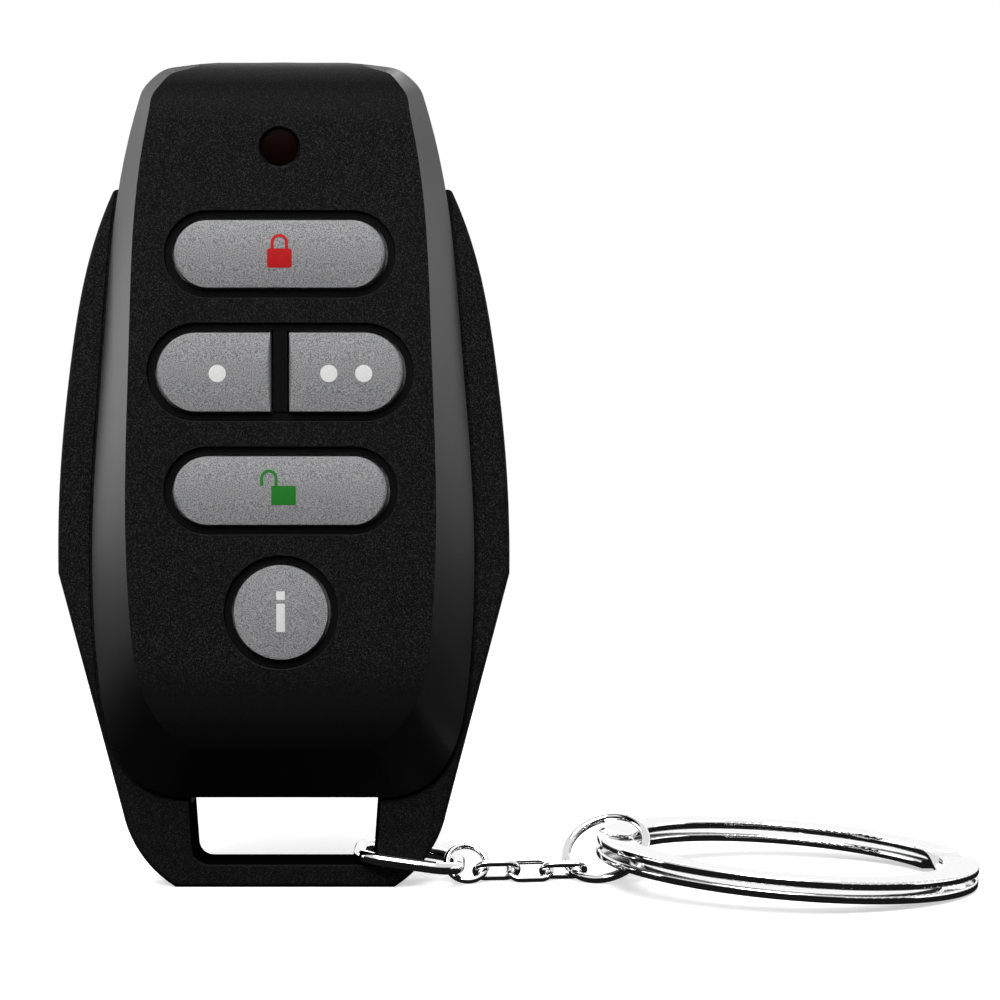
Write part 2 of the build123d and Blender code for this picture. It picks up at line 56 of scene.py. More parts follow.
MM = 0.001
KEYS = ("lock", "one_dot", "two_dot", "unlock", "info")
CHAIN = ("oblong_link", "small_jump_ring", "chain_link_a", "chain_link_b", "chain_link_c",
         "end_jump_ring", "split_ring")
WHITE = (1, 1, 1, 1)
NOISE = {"Detail": 2.0, "Roughness": 0.6}
panel_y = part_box("front_shell")[0].y
flange_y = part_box("rear_shell")[0].y
slot_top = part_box("front_shell")[0].z
brow_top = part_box("front_shell")[1].z


def srgb(code):
    """Linear RGBA of a colour written as an sRGB hex value."""
    channels = [int(code[i:i + 2], 16) / 255 for i in (1, 3, 5)]
    linear = [c / 12.92 if c <= 0.04045 else ((c + 0.055) / 1.055) ** 2.4 for c in channels]
    return (*linear, 1.0)


def colour(name, description, code):
    return FloatVectorProperty(name=name, description=description, subtype="COLOR", size=4,
                               min=0.0, max=1.0, default=srgb(code))


def length(name, description, millimetres):
    return FloatProperty(name=name, description=description, unit="LENGTH", precision=5,
                         default=millimetres * MM)


def factor(name, description, value):
    return FloatProperty(name=name, description=description, subtype="FACTOR", min=0.0, max=1.0,
                         default=value)


# Settings

class FobCaseSettings(bpy.types.PropertyGroup):
    shell: colour("Shell", "Black of the moulded shells", "#030303")
    # The fleck colour also paints the highlight along the wells' edge
    shell_fleck_and_highlight: colour("Shell fleck", "Lighter flecks in the shells' texture", "#2A2A2A")
    shell_grain: length("Shell grain", "Width of one grain of the shells' texture", 0.1)
    panel_roughness: factor("Panel roughness", "Roughness of the textured faces", 0.62)
    bevel_roughness: factor("Bevel roughness", "Roughness of the satin strips round the panel", 0.34)
    panel_shine: factor("Panel shine", "Specular level of the textured faces", 0.1)
    bevel_shine: factor("Bevel shine", "Specular level of the satin strips round the panel", 0.6)
    lens: colour("Lens", "Dyed plastic of the lamp's lens", "#0F0202")


class FobKeySettings(bpy.types.PropertyGroup):
    cap: colour("Key", "Grey of the key caps", "#9A9A9B")
    cap_fleck: colour("Key fleck", "Darker flecks in the key caps", "#606062")
    cap_grain: length("Key grain", "Width of one grain of the keys' texture", 0.1)
    roughness: factor("Key roughness", "Roughness of the key caps", 0.5)


class FobMarkSettings(bpy.types.PropertyGroup):
    red: colour("Lock ink", "Ink of the closed padlock", "#B2070A")
    green: colour("Unlock ink", "Ink of the open padlock", "#17721D")
    white: colour("Dot ink", "Ink of the dots", "#E2E2E1")
    pale: colour("Info ink", "Ink of the information mark", "#DFDFDE")
    dot: length("Dot", "Diameter of a dot", 1.5)
    body_width: length("Padlock width", "Width of a padlock's body", 2.15)
    body_height: length("Padlock height", "Height of a padlock's body", 1.68)
    shackle_width: length("Shackle width", "Outer width of a padlock's shackle", 1.52)
    shackle_stroke: length("Shackle stroke", "Width of the shackle's line", 0.27)
    letter_stroke: length("Letter stroke", "Width of the information mark's lines", 0.75)
    lift: length("Ink thickness", "How far the ink stands proud of the key", 0.02)


class FobChainSettings(bpy.types.PropertyGroup):
    plate: colour("Plating", "Bright nickel plate", "#F4F4F4")
    roughness: factor("Plating roughness", "Roughness of the plated wire", 0.06)
    scratch: length("Scratch spacing", "Spacing of the fine rub marks", 0.35)


class FobStageSettings(bpy.types.PropertyGroup):
    floor: colour("Floor", "Pale floor", "#F2F2F2")
    card: colour("Card", "Dark card round the object, which keeps the floor's light off its lower faces",
                 "#505050")
    glow: factor("Floor glow", "Light that the floor adds of its own for the camera", 0.55)
    fill: factor("Fill", "Strength of the soft light from all sides", 0.12)
    clear_radius: length("Shadow reach", "Distance at which the floor fades into the background", 130.0)


GROUPS = (("fob_case", FobCaseSettings), ("fob_keys", FobKeySettings), ("fob_marks", FobMarkSettings),
          ("fob_chain", FobChainSettings), ("fob_stage", FobStageSettings))


# Materials

def add_node(tree, kind, inputs=None, output=0, **settings):
    """Add a shader node with its settings, give its inputs a value or a link, and return one output."""
    node = tree.nodes.new(f"ShaderNode{kind}")
    for name, value in settings.items():
        setattr(node, name, value)
    for name, value in (inputs or {}).items():
        if isinstance(value, bpy.types.NodeSocket):
            tree.links.new(value, node.inputs[name])
        else:
            node.inputs[name].default_value = value
    return node.outputs[output] if len(node.outputs) else None


def new_material(name):
    """An empty material, its node tree and the piece's own coordinates."""
    material = bpy.data.materials.new(name)
    material.use_nodes = True
    tree = material.node_tree
    tree.nodes.clear()
    return material, tree, add_node(tree, "TexCoord", output="Object")


def set_surface(tree, inputs):
    """Give a material its one shader, and return the shader's own inputs."""
    surface = add_node(tree, "BsdfPrincipled", inputs)
    add_node(tree, "OutputMaterial", {"Surface": surface})
    return surface.node.inputs


def speckled(name, grain, shades, spread, gloss, fixed, gloss_spread=(0.3, 0.7), detail=2.0, dent=None):
    """A material whose shade and roughness vary in spots about as wide as one grain.
    The spreads are the parts of the noise that take up the change, fixed holds the shader's plain values,
    and dent is a depth and a strength."""
    material, tree, place = new_material(name)
    spots = add_node(tree, "TexNoise", {"Vector": place, "Scale": 1 / grain, **NOISE, "Detail": detail})
    share = add_node(tree, "MapRange", {"Value": spots, "From Min": spread[0], "From Max": spread[1]})
    # A Mix node's colours go in at 6 and 7 and come out at 2
    shade = add_node(tree, "Mix", {0: share, 6: shades[0], 7: shades[1]}, 2, data_type="RGBA")
    rough = add_node(tree, "MapRange", {"Value": spots, "From Min": gloss_spread[0],
                                        "From Max": gloss_spread[1], "To Min": gloss[0], "To Max": gloss[1]})
    inputs = {"Base Color": shade, "Roughness": rough, **fixed}
    if dent:
        inputs["Normal"] = add_node(tree, "Bump", {"Height": spots, "Distance": dent[0], "Strength": dent[1]})
    set_surface(tree, inputs)
    return material


def darker(shade, share):
    """A colour with its channels scaled down."""
    return tuple(channel * share for channel in shade[:3]) + (1.0,)


def key_wells(tree, across, depth, height):
    """Shares of the key wells: sunk faces painted as shade, and a thin painted highlight along their edge."""
    sunk_start, sunk_end = panel_y + 0.15 * MM, panel_y + 0.2 * MM
    highlight_start, highlight_end = panel_y + 0.005 * MM, panel_y + 0.015 * MM
    panel_edge, blur = 12.2 * MM, 0.1 * MM
    margin, fall = MM, 0.2 * MM
    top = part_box("lock_button")[1].z + margin
    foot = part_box("info_button")[0].z - margin
    sunk = add_node(tree, "MapRange", {"Value": depth, "From Min": sunk_start, "From Max": sunk_end})
    # The thin line along the wells' edge, where a highlight is painted
    edge_highlight = add_node(tree, "MapRange", {"Value": depth, "From Min": highlight_start, "From Max": highlight_end})
    edge_highlight = add_node(tree, "Math", {0: edge_highlight, 1: sunk}, operation="SUBTRACT", use_clamp=True)
    aside = add_node(tree, "Math", {0: across}, operation="ABSOLUTE")
    on_panel = add_node(tree, "MapRange", {"Value": aside, "From Min": panel_edge,
                                           "From Max": panel_edge - blur})
    edge_highlight = add_node(tree, "Math", {0: edge_highlight, 1: on_panel}, operation="MULTIPLY")
    for end, inner in ((top, top - fall), (foot, foot + fall)):
        within = add_node(tree, "MapRange", {"Value": height, "From Min": end, "From Max": inner})
        sunk = add_node(tree, "Math", {0: sunk, 1: within}, operation="MULTIPLY")
        edge_highlight = add_node(tree, "Math", {0: edge_highlight, 1: within}, operation="MULTIPLY")
    return sunk, edge_highlight


def beyond_slot(tree, across, height, facing):
    """Share that is 0 on the lanyard slot's walls, which face its middle or up, and 1 elsewhere."""
    low, high = slot_top - 0.7 * MM, slot_top - 0.2 * MM
    aslant, square = -1 * MM, -3 * MM
    above = add_node(tree, "MapRange", {"Value": height, "From Min": low, "From Max": high})
    below = add_node(tree, "Math", {0: 1.0, 1: above}, operation="SUBTRACT")
    # The place across times the way that the wall faces is negative where it faces the middle
    inward = add_node(tree, "Math", {0: across, 1: facing["X"]}, operation="MULTIPLY")
    inward = add_node(tree, "MapRange", {"Value": inward, "From Min": aslant, "From Max": square})
    upward = add_node(tree, "MapRange", {"Value": facing["Z"], "From Min": 0.3, "From Max": 0.6})
    wall = add_node(tree, "Math", {0: inward, 1: upward}, operation="MAXIMUM")
    wall = add_node(tree, "Math", {0: wall, 1: below}, operation="MULTIPLY")
    return add_node(tree, "Math", {0: 1.0, 1: wall}, operation="SUBTRACT")


def shell_plastic(case):
    """ABS moulded in a spark-eroded tool, which leaves a dull fine grain that glitters a little.
    Where the tool is polished the shells are satin, as on the strips round the panel. In the wells round
    the keys the grain is left off, which makes them smooth and paints them dark as shade, with a thin
    highlight painted along their edge. The grain fades out on the brow. Towards the chin it fades out as
    painted shade, though the legs keep more of it, and on the slot's walls grain and shine are left off as
    painted shade. It is drawn a little coarser than it is, so that it shows."""
    material, tree, place = new_material("ABS black, spark eroded")
    across, depth, height = add_node(tree, "SeparateXYZ", {"Vector": place}).node.outputs
    normal = add_node(tree, "TexCoord", output="Normal")
    facing = add_node(tree, "SeparateXYZ", {"Vector": normal}).node.outputs
    coarse = add_node(tree, "TexNoise", {"Vector": place, "Scale": 1 / case.shell_grain, **NOISE})
    fine = add_node(tree, "TexNoise", {"Vector": place, "Scale": 3 / case.shell_grain, **NOISE})
    flange_start, flange_end = flange_y - 0.4 * MM, flange_y - 0.1 * MM
    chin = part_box("info_button")[0].z
    # Heights over which the grain fades out as painted shade towards the chin
    chin_shade_low, chin_shade_high = chin - 2.6 * MM, chin + 1.4 * MM
    crest_start, crest_end = brow_top - 5.5 * MM, brow_top - 2.5 * MM
    rim_start = brow_top - 2 * MM
    shaded_leg_grain, shaded_chin_grain, crest_grain = 0.6, 0.05, 0.45
    pit = 0.035 * MM

    # Where the shells are textured, and where their grain shows
    sideways = add_node(tree, "Math", {0: facing["X"]}, operation="ABSOLUTE")
    ahead = add_node(tree, "MapRange", {"Value": sideways, "From Min": 0.45, "From Max": 0.05})
    on_flange = add_node(tree, "MapRange", {"Value": depth, "From Min": flange_start,
                                            "From Max": flange_end})
    textured = add_node(tree, "Math", {0: ahead, 1: on_flange}, operation="MAXIMUM")
    sunk, edge_highlight = key_wells(tree, across, depth, height)
    # Leaving the grain off the wells paints them as shade
    grained = add_node(tree, "Math", {0: textured, 1: sunk}, operation="SUBTRACT", use_clamp=True)
    grained = add_node(tree, "Math", {0: grained, 1: on_flange}, operation="MAXIMUM")
    # Painted shade: the grain fades out towards the chin, less on the legs
    chin_shade = add_node(tree, "MapRange", {"Value": height, "From Min": chin_shade_low, "From Max": chin_shade_high,
                                       "To Min": shaded_chin_grain})
    leg_shade = add_node(tree, "Math", {0: on_flange, 1: shaded_leg_grain}, operation="MULTIPLY")
    chin_shade = add_node(tree, "Math", {0: chin_shade, 1: leg_shade}, operation="MAXIMUM")
    crest = add_node(tree, "MapRange", {"Value": height, "From Min": crest_start, "From Max": crest_end,
                                        "To Min": 1.0, "To Max": crest_grain})
    # Painted shade: the slot's walls get no flecks and no shine
    outside_slot_shade = beyond_slot(tree, across, height, facing)

    # Colour: flecks of the grain on black, and the highlight painted along the wells' edge
    fleck = add_node(tree, "MapRange", {"Value": coarse, "From Min": 0.50, "From Max": 0.66})
    for share in (grained, chin_shade, crest, outside_slot_shade):
        fleck = add_node(tree, "Math", {0: fleck, 1: share}, operation="MULTIPLY")
    # Painted highlight along the wells' outer edge, in the fleck colour
    fleck = add_node(tree, "Math", {0: fleck, 1: edge_highlight}, operation="ADD")
    shade = add_node(tree, "Mix", {0: fleck, 6: tuple(case.shell), 7: tuple(case.shell_fleck_and_highlight)}, 2,
                     data_type="RGBA")

    # Gloss: satin strips, dull texture, and a little more shine along the brow's upper edge
    rough = add_node(tree, "MapRange", {"Value": textured, "To Min": case.bevel_roughness,
                                        "To Max": case.panel_roughness})
    uneven = add_node(tree, "MapRange", {"Value": fine, "From Min": 0.3, "From Max": 0.7, "To Min": -0.05,
                                         "To Max": 0.05})
    rough = add_node(tree, "Math", {0: rough, 1: uneven}, operation="ADD")
    rim = add_node(tree, "MapRange", {"Value": height, "From Min": rim_start, "From Max": brow_top,
                                      "To Max": 2.0})
    shine = add_node(tree, "Math", {0: crest, 1: rim}, operation="ADD")
    shine = add_node(tree, "Math", {0: shine, 1: case.panel_shine}, operation="MULTIPLY")
    shine = add_node(tree, "Mix", {0: textured, 2: case.bevel_shine, 3: shine}, data_type="FLOAT")
    # No shine on the slot's walls, as painted shade
    shine = add_node(tree, "Math", {0: shine, 1: outside_slot_shade}, operation="MULTIPLY")

    relief = add_node(tree, "Math", {0: coarse, 1: grained}, operation="MULTIPLY")
    bump = add_node(tree, "Bump", {"Height": relief, "Distance": pit, "Strength": 0.55})
    surface = set_surface(tree, {"Base Color": shade, "Roughness": rough, "Specular IOR Level": shine,
                                 "Normal": bump, "IOR": 1.46})
    # The export drops a linked specular level, so the socket keeps a plain one too
    surface["Specular IOR Level"].default_value = case.panel_shine
    return material


def lens_plastic(case):
    """Polycarbonate dyed dark red with a matt face, which looks almost black with hardly a highlight."""
    shades = (tuple(case.lens), darker(case.lens, 0.45))
    return speckled("Polycarbonate lens, dyed red", grain=1.2 * MM, shades=shades, spread=(0.35, 0.65),
                    gloss=(0.45, 0.55), fixed={"IOR": 1.58, "Specular IOR Level": 0.015})


def key_plastic(keys):
    """ABS key caps from a lightly spark-eroded tool: matt grey with a fine darker fleck."""
    material, tree, place = new_material("ABS grey, fine spark finish")
    coarse = add_node(tree, "TexNoise", {"Vector": place, "Scale": 1 / keys.cap_grain, **NOISE})
    fine = add_node(tree, "TexNoise", {"Vector": place, "Scale": 2.5 / keys.cap_grain, **NOISE})
    fleck = add_node(tree, "MapRange", {"Value": coarse, "From Min": 0.42, "From Max": 0.60})
    shade = add_node(tree, "Mix", {0: fleck, 6: tuple(keys.cap), 7: tuple(keys.cap_fleck)}, 2,
                     data_type="RGBA")
    uneven, pit = 0.06, 0.02 * MM
    rough = add_node(tree, "MapRange", {"Value": fine, "From Min": 0.3, "From Max": 0.7,
                                        "To Min": keys.roughness - uneven, "To Max": keys.roughness + uneven})
    bump = add_node(tree, "Bump", {"Height": coarse, "Distance": pit, "Strength": 0.5})
    set_surface(tree, {"Base Color": shade, "Roughness": rough, "Normal": bump, "IOR": 1.5})
    return material


def ink(name, shade):
    """Pad-printed ink: flat and slightly silky, with the print's faint unevenness."""
    shades = (tuple(shade), darker(shade, 0.86))
    return speckled(name, grain=0.12 * MM, shades=shades, spread=(0.35, 0.7), gloss=(0.5, 0.6),
                    fixed={"IOR": 1.5, "Specular IOR Level": 0.25})


def nickel_plate(chain):
    """Steel wire with bright nickel plate: a clear mirror, rubbed a little duller in small patches."""
    shades = (tuple(chain.plate), darker(chain.plate, 0.82))
    gloss = (chain.roughness * 0.8, chain.roughness * 1.6)
    return speckled("Steel wire, bright nickel plate", grain=chain.scratch, shades=shades,
                    spread=(0.55, 0.8), gloss=gloss, fixed={"Metallic": 1.0}, gloss_spread=(0.4, 0.75),
                    detail=4.0, dent=(0.0015 * MM, 0.2))


def inner_part(name, base, worn, grain, roughness, metallic=0.0):
    """A part inside the case: two close shades in a pattern of its own grain."""
    gloss = (roughness * 0.85, roughness * 1.15)
    return speckled(name, grain, shades=(srgb(base), srgb(worn)), spread=(0.4, 0.7), gloss=gloss,
                    fixed={"Metallic": metallic}, dent=(0.01 * MM, 0.3))


# Inside the case: each material with its two shades, the width of one grain in millimetres, its
# roughness, its share of metal, and the nodes that have it
INSIDE = (
    ("Glass epoxy board, green mask", "#1E5B33", "#246A3C", 0.6, 0.35, 0.0, ("circuit_board",)),
    ("Copper track", "#B87347", "#A5643B", 0.3, 0.3, 1.0, ("loop_antenna",)),
    ("Moulded epoxy, black", "#18181A", "#222224", 0.15, 0.6, 0.0, ("radio_chip",)),
    ("Clear epoxy, milky", "#D8D6C6", "#E6E4D6", 0.3, 0.25, 0.0, ("status_led",)),
    ("Fired ceramic, tan", "#8F7A62", "#9D886F", 0.2, 0.5, 0.0, ("chip_capacitors",)),
    ("Coin cell can, nickel plated steel", "#C6C6C4", "#B0B0AE", 0.2, 0.25, 1.0, ("coin_cell", "crystal")),
    ("Spring steel, tin plated", "#BDBDB8", "#A6A6A1", 0.25, 0.3, 1.0, ("battery_contact", "battery_clip")),
)


# Pieces

def finish(node, material):
    """Give a CAD node its material."""
    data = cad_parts[node].data
    data.materials.clear()
    data.materials.append(material)
    for face in data.polygons:
        face.material_index = 0


def new_piece(name, bm, material):
    """Turn a bmesh into an object with one material."""
    for face in bm.faces:
        face.material_index = 0
    mesh = bpy.data.meshes.new(name)
    bm.to_mesh(mesh)
    bm.free()
    mesh.materials.append(material)
    piece = bpy.data.objects.new(name, mesh)
    bpy.context.scene.collection.objects.link(piece)
    return piece


def smooth_copy(node, material, sharp_degrees=30):
    """A copy of a CAD node with one shared point at each corner and soft shading, which shows instead."""
    bm = bmesh.new()
    bm.from_mesh(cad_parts[node].data)
    bmesh.ops.remove_doubles(bm, verts=bm.verts[:], dist=0.002 * MM)
    for face in bm.faces:
        face.smooth = True
    for edge in bm.edges:
        edge.smooth = len(edge.link_faces) == 2 and edge.calc_face_angle() < math.radians(sharp_degrees)
    piece = new_piece(f"{node}_wire", bm, material)
    even = piece.modifiers.new("Even shading", "WEIGHTED_NORMAL")
    even.keep_sharp = True
    even.weight = 90
    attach(piece, node)
    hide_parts(node)


# Key marks, drawn flat with z up the page and then laid on the key

def middle(node):
    low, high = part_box(node)
    return (low + high) / 2


def disc(bm, x, z, diameter):
    bmesh.ops.create_circle(bm, cap_ends=True, segments=48, radius=diameter / 2,
                            matrix=Matrix.Translation((x, z, 0)))


def plate(bm, x, z, width, height, corner):
    """Rectangle about (x, z) with round corners."""
    size = Matrix.Diagonal((width, height, 1, 1))
    made = bmesh.ops.create_grid(bm, x_segments=1, y_segments=1, size=0.5,
                                 matrix=Matrix.Translation((x, z, 0)) @ size)
    bmesh.ops.bevel(bm, geom=made["verts"], offset=corner, offset_type="OFFSET", segments=6,
                    profile=0.5, affect="VERTICES", material=-1)


def shackle(bm, x, z, width, stroke, leg):
    """Half ring about (x, z) with two straight legs below it."""
    outer = bm.verts.new((x + width / 2, z, 0))
    inner = bm.verts.new((x + width / 2 - stroke, z, 0))
    start = bm.edges.new((inner, outer))
    bmesh.ops.spin(bm, geom=[inner, outer, start], cent=(x, z, 0), axis=(0, 0, 1), angle=math.pi, steps=24)
    level = 0.001 * MM
    feet = [edge for edge in bm.edges
            if edge.is_boundary and all(abs(vert.co.y - z) < level for vert in edge.verts)]
    grown = bmesh.ops.extrude_edge_only(bm, edges=feet)
    verts = [item for item in grown["geom"] if isinstance(item, bmesh.types.BMVert)]
    bmesh.ops.translate(bm, verts=verts, vec=(0, -leg, 0))


def closed_padlock(bm, marks):
    drop, corner, leg = 0.35 * MM, 0.22 * MM, 0.5 * MM
    z = middle("lock_button").z - drop
    plate(bm, 0, z, marks.body_width, marks.body_height, corner)
    shackle(bm, 0, z + marks.body_height / 2 + leg, marks.shackle_width, marks.shackle_stroke, leg)


def open_padlock(bm, marks):
    """Its shackle has swung out over the left edge of its body."""
    drop, corner, leg = 0.38 * MM, 0.06 * MM, 0.66 * MM
    body_x, shackle_x = 0.3 * MM, -0.98 * MM
    z = middle("unlock_button").z - drop
    plate(bm, body_x, z, marks.body_width, marks.body_height, corner)
    shackle(bm, shackle_x, z + marks.body_height / 2 + leg, marks.shackle_width, marks.shackle_stroke, leg)


def one_dot(bm, marks):
    x, drop = -5.45 * MM, 0.1 * MM
    disc(bm, x, middle("one_dot_button").z - drop, marks.dot)


def two_dots(bm, marks):
    left, right, drop = 4.28 * MM, 7.32 * MM, 0.1 * MM
    for x in (left, right):
        disc(bm, x, middle("two_dot_button").z - drop, marks.dot)


def info_mark(bm, marks):
    """A small letter i: a square point over an upright bar."""
    rise, drop, height, corner = 1.52 * MM, 0.42 * MM, 2.48 * MM, 0.05 * MM
    z = middle("info_button").z
    plate(bm, 0, z + rise, marks.letter_stroke, marks.letter_stroke, corner)
    plate(bm, 0, z - drop, marks.letter_stroke, height, corner)


def lay_on_key(bm, key, proud):
    """Give the flat drawing its thickness and bend it onto the key's crowned face."""
    weld, cut, facet = 0.0005 * MM, 0.0001 * MM, 0.2 * MM
    sunk = 2 * proud
    bmesh.ops.remove_doubles(bm, verts=bm.verts[:], dist=weld)
    bmesh.ops.recalc_face_normals(bm, faces=bm.faces[:])
    grown = bmesh.ops.extrude_face_region(bm, geom=bm.faces[:])
    front = [item for item in grown["geom"] if isinstance(item, bmesh.types.BMVert)]
    bmesh.ops.translate(bm, verts=front, vec=(0, 0, sunk + proud))
    bmesh.ops.rotate(bm, verts=bm.verts[:], cent=(0, 0, 0), matrix=Matrix.Rotation(math.pi / 2, 3, "X"))
    for axis in (0, 2):
        normal = Vector((0, 0, 0))
        normal[axis] = 1
        low = min(vert.co[axis] for vert in bm.verts)
        high = max(vert.co[axis] for vert in bm.verts)
        for index in range(1, int((high - low) / facet) + 1):
            bmesh.ops.bisect_plane(bm, geom=bm.verts[:] + bm.edges[:] + bm.faces[:], dist=cut,
                                   plane_co=normal * (low + index * facet), plane_no=normal)
    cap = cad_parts[f"{key}_button"]
    surface = BVHTree.FromObject(cap, bpy.context.evaluated_depsgraph_get())
    in_front = 2 * panel_y
    for vert in bm.verts:
        hit = surface.ray_cast(Vector((vert.co.x, in_front, vert.co.z)), Vector((0, 1, 0)))[0]
        if hit is None:
            raise RuntimeError(f"a mark runs off the {key} key")
        vert.co.y += hit.y + sunk
    bmesh.ops.recalc_face_normals(bm, faces=bm.faces[:])
    if any(not edge.is_manifold for edge in bm.edges):
        raise RuntimeError(f"the mark on the {key} key isn't closed")


def print_mark(name, key, draw, material, marks):
    """A printed mark that moves with its key. draw adds its flat shape to a mesh."""
    bm = bmesh.new()
    draw(bm, marks)
    lay_on_key(bm, key, marks.lift)
    piece = new_piece(name, bm, material)
    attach(piece, f"{key}_key")


# Studio

# Name, place and size in metres, and power in watts of each lamp
SOFTBOXES = (
    ("Top softbox", (-0.05, -0.27, 0.60), (0.5, 0.3), 2.8),
    ("Front softbox", (-0.10, -0.52, 0.44), (0.4, 0.3), 3.5),
    ("Back softbox", (0.05, 0.60, 0.45), (0.4, 0.3), 1.5),
    ("Left softbox", (-0.52, 0.10, 0.08), (0.34, 0.3), 1.0),
    ("Right softbox", (0.55, 0.10, 0.08), (0.34, 0.3), 0.55),
)


def by_ray(tree, camera, gloss, others):
    """The first shader for the camera and through clear plastic, the second in gloss, else the third."""
    path = add_node(tree, "LightPath").node.outputs
    unseen = add_node(tree, "MixShader", {0: path["Is Glossy Ray"], 1: others, 2: gloss})
    straight = add_node(tree, "Math", {0: path["Is Camera Ray"], 1: path["Is Transmission Ray"]},
                        operation="MAXIMUM")
    return add_node(tree, "MixShader", {0: straight, 1: unseen, 2: camera})


def floor_paint(stage):
    """Matt paint for the camera, which fades to the white background past the shadow. Glossy faces see a
    white wall behind the object instead, and all other rays see a dark card."""
    material, tree, place = new_material("Pale studio floor")
    wall_start, wall_end = 30 * MM, 140 * MM
    distance = add_node(tree, "VectorMath", {0: place}, "Value", operation="LENGTH")
    reach = stage.clear_radius
    far = add_node(tree, "MapRange", {"Value": distance, "From Min": reach, "From Max": 1.8 * reach})
    matt = add_node(tree, "BsdfDiffuse", {"Color": tuple(stage.floor)})
    glow = add_node(tree, "Emission", {"Color": WHITE, "Strength": stage.glow})
    near = add_node(tree, "AddShader", {0: matt, 1: glow})
    white = add_node(tree, "Emission", {"Color": WHITE, "Strength": 1.0})
    seen = add_node(tree, "MixShader", {0: far, 1: near, 2: white})
    along = add_node(tree, "SeparateXYZ", {"Vector": place}, "Y")
    wall = add_node(tree, "MapRange", {"Value": along, "From Min": wall_start, "From Max": wall_end,
                                       "To Min": 0.01})
    mirrored = add_node(tree, "Emission", {"Color": WHITE, "Strength": wall})
    card = add_node(tree, "BsdfDiffuse", {"Color": tuple(stage.card)})
    add_node(tree, "OutputMaterial", {"Surface": by_ray(tree, seen, mirrored, card)})
    return material


def add_floor(stage):
    """Pale floor, just below the object."""
    gap, reach = 0.01 * MM, 4000 * MM
    bm = bmesh.new()
    bmesh.ops.create_grid(bm, x_segments=1, y_segments=1, size=reach, matrix=Matrix.Translation((0, 0, -gap)))
    new_piece("floor", bm, floor_paint(stage))


def add_world(stage):
    """White for the camera, and a soft fill. Gloss sees a white wall behind, a white ceiling and a dark
    room in front."""
    world = bpy.data.worlds.new("Studio")
    bpy.context.scene.world = world
    world.use_nodes = True
    tree = world.node_tree
    tree.nodes.clear()
    direction = add_node(tree, "TexCoord", output="Generated")
    way = add_node(tree, "SeparateXYZ", {"Vector": direction}).node.outputs
    wall = add_node(tree, "MapRange", {"Value": way["Y"], "From Min": 0.1, "From Max": 0.6, "To Min": 0.01})
    ceiling = add_node(tree, "MapRange", {"Value": way["Z"], "From Min": 0.25, "From Max": 0.45,
                                          "To Max": 0.8})
    room = add_node(tree, "Math", {0: wall, 1: ceiling}, operation="MAXIMUM")
    fill = add_node(tree, "Background", {"Color": WHITE, "Strength": stage.fill})
    gloss = add_node(tree, "Background", {"Color": WHITE, "Strength": room})
    white = add_node(tree, "Background", {"Color": WHITE, "Strength": 1.0})
    add_node(tree, "OutputWorld", {"Surface": by_ray(tree, white, gloss, fill)})


def add_softbox(name, place, size, power):
    """Area lamp at a place, turned towards the object."""
    aim = Vector((10, 0, 35)) * MM
    lamp = bpy.data.lights.new(name, "AREA")
    lamp.shape = "RECTANGLE"
    lamp.size, lamp.size_y = size
    lamp.energy = power
    softbox = bpy.data.objects.new(name, lamp)
    softbox.location = place
    softbox.rotation_euler = (aim - Vector(place)).to_track_quat("-Z", "Y").to_euler()
    bpy.context.scene.collection.objects.link(softbox)


def add_camera():
    """The photograph's view: level with the upper keys, a little to the right, tipped down 3 degrees."""
    eye = Vector((19.2, -302.65, 50.44)) * MM
    tip_down = math.radians(3.02)
    data = bpy.data.cameras.new("Camera")
    data.sensor_width = 36.0
    data.lens = 122.0
    data.clip_start = 0.01
    camera = bpy.data.objects.new("Camera", data)
    camera.location = eye
    camera.rotation_euler = (math.pi / 2 - tip_down, 0, 0)
    bpy.context.scene.collection.objects.link(camera)
    bpy.context.scene.camera = camera


# Operators

class FobCaseOperator(bpy.types.Operator):
    """Finish the two shells, the lens and the case screw"""
    bl_idname = "fob.case"
    bl_label = "Case"

    def execute(self, context):
        case = context.scene.fob_case
        plastic = shell_plastic(case)
        finish("front_shell", plastic)
        finish("rear_shell", plastic)
        finish("led_lens", lens_plastic(case))
        screw = inner_part("Steel screw, black zinc", "#2B2B2D", "#4A4A4C", grain=0.3 * MM,
                           roughness=0.35, metallic=1.0)
        finish("case_screw", screw)
        return {"FINISHED"}


class FobKeysOperator(bpy.types.Operator):
    """Finish the key caps and the switches below them"""
    bl_idname = "fob.keys"
    bl_label = "Keys"

    def execute(self, context):
        caps = key_plastic(context.scene.fob_keys)
        covers = inner_part("Steel switch cover, tin plated", "#B9B9B4", "#A3A39E", grain=0.2 * MM,
                            roughness=0.35, metallic=1.0)
        plungers = inner_part("Nylon plunger", "#DAD6CA", "#CDC9BD", grain=0.3 * MM, roughness=0.45)
        for key in KEYS:
            finish(f"{key}_button", caps)
            finish(f"{key}_switch_base", covers)
            finish(f"{key}_switch_plunger", plungers)
        return {"FINISHED"}


class FobMarksOperator(bpy.types.Operator):
    """Print the padlocks, the dots and the information mark on the keys"""
    bl_idname = "fob.marks"
    bl_label = "Key marks"

    def execute(self, context):
        marks = context.scene.fob_marks
        white = ink("Pad print, white ink", marks.white)
        prints = (
            ("lock_mark", "lock", closed_padlock, ink("Pad print, red ink", marks.red)),
            ("unlock_mark", "unlock", open_padlock, ink("Pad print, green ink", marks.green)),
            ("one_dot_mark", "one_dot", one_dot, white),
            ("two_dot_mark", "two_dot", two_dots, white),
            ("info_mark", "info", info_mark, ink("Pad print, pale grey ink", marks.pale)),
        )
        for name, key, draw, material in prints:
            print_mark(name, key, draw, material, marks)
        return {"FINISHED"}


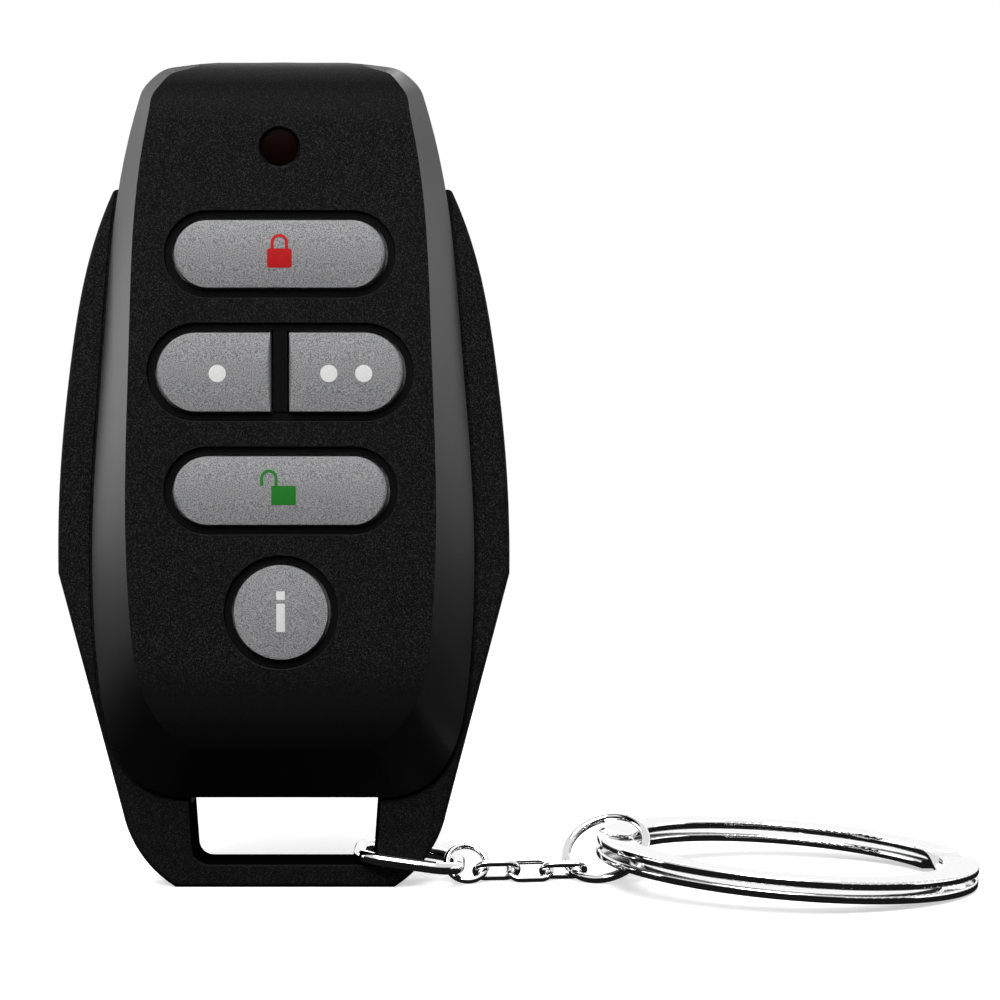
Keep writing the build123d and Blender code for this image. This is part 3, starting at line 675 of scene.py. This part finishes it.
class FobInsideOperator(bpy.types.Operator):
    """Finish the circuit board, what is soldered to it, and the coin cell"""
    bl_idname = "fob.inside"
    bl_label = "Inside"

    def execute(self, context):
        for name, base, worn, grain, roughness, metallic, nodes in INSIDE:
            material = inner_part(name, base, worn, grain * MM, roughness, metallic)
            for node in nodes:
                finish(node, material)
        return {"FINISHED"}


class FobChainOperator(bpy.types.Operator):
    """Finish the link, the chain and the rings"""
    bl_idname = "fob.chain"
    bl_label = "Chain and rings"

    def execute(self, context):
        plated = nickel_plate(context.scene.fob_chain)
        for node in CHAIN:
            smooth_copy(node, plated)
        return {"FINISHED"}


class FobStageOperator(bpy.types.Operator):
    """Set the floor, the soft light, the white background and the camera"""
    bl_idname = "fob.stage"
    bl_label = "Studio"

    def execute(self, context):
        stage = context.scene.fob_stage
        add_camera()
        add_floor(stage)
        add_world(stage)
        for name, place, size, power in SOFTBOXES:
            add_softbox(name, place, size, power)
        context.scene.view_settings.view_transform = "Standard"
        return {"FINISHED"}


OPERATORS = (FobStageOperator, FobCaseOperator, FobKeysOperator, FobMarksOperator, FobInsideOperator,
             FobChainOperator)


class FobPanel(bpy.types.Panel):
    """Buttons for each group of pieces, with its settings"""
    bl_idname = "FOB_PT_build"
    bl_label = "Key fob"
    bl_space_type = "VIEW_3D"
    bl_region_type = "UI"
    bl_category = "Key fob"

    def draw(self, context):
        for operator in OPERATORS:
            self.layout.operator(operator.bl_idname)
        for name, group in GROUPS:
            box = self.layout.box()
            for setting in group.__annotations__:
                box.prop(getattr(context.scene, name), setting)


def register():
    for name, group in GROUPS:
        bpy.utils.register_class(group)
        setattr(bpy.types.Scene, name, PointerProperty(type=group))
    for operator in OPERATORS:
        bpy.utils.register_class(operator)
    bpy.utils.register_class(FobPanel)


def unregister():
    bpy.utils.unregister_class(FobPanel)
    for operator in reversed(OPERATORS):
        bpy.utils.unregister_class(operator)
    for name, group in reversed(GROUPS):
        delattr(bpy.types.Scene, name)
        bpy.utils.unregister_class(group)


def main():
    register()
    bpy.ops.fob.stage()
    bpy.ops.fob.case()
    bpy.ops.fob.keys()
    bpy.ops.fob.marks()
    bpy.ops.fob.inside()
    bpy.ops.fob.chain()


if __name__ == "__main__":
    main()
